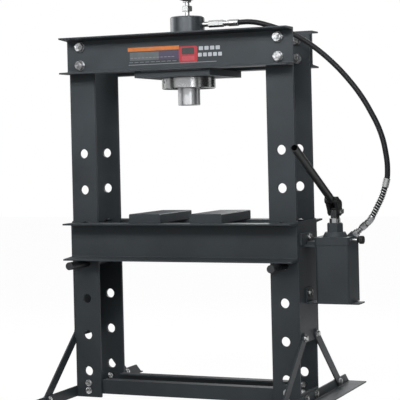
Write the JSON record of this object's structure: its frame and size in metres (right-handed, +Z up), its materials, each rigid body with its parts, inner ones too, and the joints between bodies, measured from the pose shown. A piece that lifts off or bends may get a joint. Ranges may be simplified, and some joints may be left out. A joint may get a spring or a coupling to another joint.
{
  "type": "hydraulic workshop press",
  "caption": "Floor-standing H-frame hydraulic press with pinned height-adjustable bed, ring-nut cylinder, gauge and side hand pump joined by a hose.",
  "frame": {"origin": "on the floor, on the ram's axis, midway between the two posts", "axes": "+Z up, +X towards the hand pump, -Y the front that carries the label and the gauge's face"},
  "size_m": [1.313, 0.98, 1.618],
  "materials": {
    "paint": "satin",
    "pin_steel": "satin",
    "chrome": "polished",
    "zinc": "satin",
    "cylinder_steel": "satin",
    "bronze": "satin",
    "rubber": "matt",
    "black_metal": "satin",
    "black_plastic": "matt",
    "dial": "matt",
    "label": "satin",
    "lens": "clear"
  },
  "bodies": {
    "frame": {"left_front_bar": "paint", "left_rear_bar": "paint", "right_front_bar": "paint", "right_rear_bar": "paint", "left_tie_plate": "paint", "right_tie_plate": "paint", "base_cleats": "paint", "front_beam": "paint", "rear_beam": "paint", "beam_bolts": "zinc", "beam_washers": "zinc", "beam_nuts": "zinc", "cylinder_plate": "paint", "cylinder": "cylinder_steel", "ring_nut": "chrome", "ring_set_screw": "zinc", "gland_bush": "bronze", "wiper_ring": "rubber", "cap_spring_plug": "zinc", "gauge_adapter": "zinc", "gauge_case": "black_metal", "gauge_dial": "dial", "gauge_lens": "lens", "hose_adapter": "zinc", "hose_ends": "chrome", "hose": "rubber", "hose_guard": "zinc", "pump_bracket": "paint", "tank_bracket": "paint", "oil_tank": "paint", "pump_head": "paint", "pump_barrel": "zinc", "gland_nut": "black_metal", "fulcrum_link": "paint", "lever_pins": "zinc", "left_foot": "paint", "right_foot": "paint", "crossbars": "paint", "left_braces": "paint", "right_braces": "paint", "tie_bolts": "zinc", "tie_nuts": "zinc"},
    "ram": {"ram": "chrome", "piston_seal": "rubber", "ram_spring_plug": "zinc", "return_spring": "zinc"},
    "bed": {"bed_front_channel": "paint", "bed_rear_channel": "paint", "bed_spacers": "paint", "left_arbor_plate": "paint", "right_arbor_plate": "paint"},
    "left_pin": {"left_bed_pin": "pin_steel"},
    "right_pin": {"right_bed_pin": "pin_steel"},
    "pump_rod": {"pump_piston": "chrome", "piston_pin": "zinc"},
    "lever": {"pump_lever": "black_metal", "handle_pipe": "black_metal"},
    "release": {"release_valve": "chrome", "release_knob": "black_plastic"},
    "needle": {"gauge_needle": "black_plastic"}
  },
  "joints": [
    {"name": "ram_slide", "type": "slide", "parent": "frame", "child": "ram", "axis": [0, 0, -1], "range_m": [0, 0.15], "stiffness_N_per_m": 400, "springref_m": -0.4, "deforming": ["return_spring"]},
    {"name": "bed_lift", "type": "slide", "parent": "frame", "child": "bed", "axis": [0, 0, 1], "range_m": [0, 0.14]},
    {"name": "left_pin_slide", "type": "slide", "parent": "frame", "child": "left_pin", "axis": [0, -1, 0], "range_m": [0, 0.45]},
    {"name": "right_pin_slide", "type": "slide", "parent": "frame", "child": "right_pin", "axis": [0, -1, 0], "range_m": [0, 0.45]},
    {"name": "lever_hinge", "type": "hinge", "parent": "frame", "child": "lever", "pos_m": [0.58, 0.006, 0.71], "axis": [1, 0, 0], "range_deg": [-20, 20]},
    {"name": "pump_stroke", "type": "slide", "parent": "frame", "child": "pump_rod", "axis": [0, 0, -1], "range_m": [-0.0138, 0.0138]},
    {"name": "release_turn", "type": "hinge", "parent": "frame", "child": "release", "pos_m": [0.66, -0.028, 0.6078], "axis": [1, 0, 0], "range_deg": [0, 360]},
    {"name": "needle_turn", "type": "hinge", "parent": "frame", "child": "needle", "pos_m": [0, -0.008, 1.566], "axis": [0, 1, 0], "range_deg": [0, 270], "stiffness_Nm_per_rad": 0.002}
  ],
  "couplings": [
    {"joint": "pump_stroke", "follows": "lever_hinge", "m_per_rad": 0.0388}
  ]
}
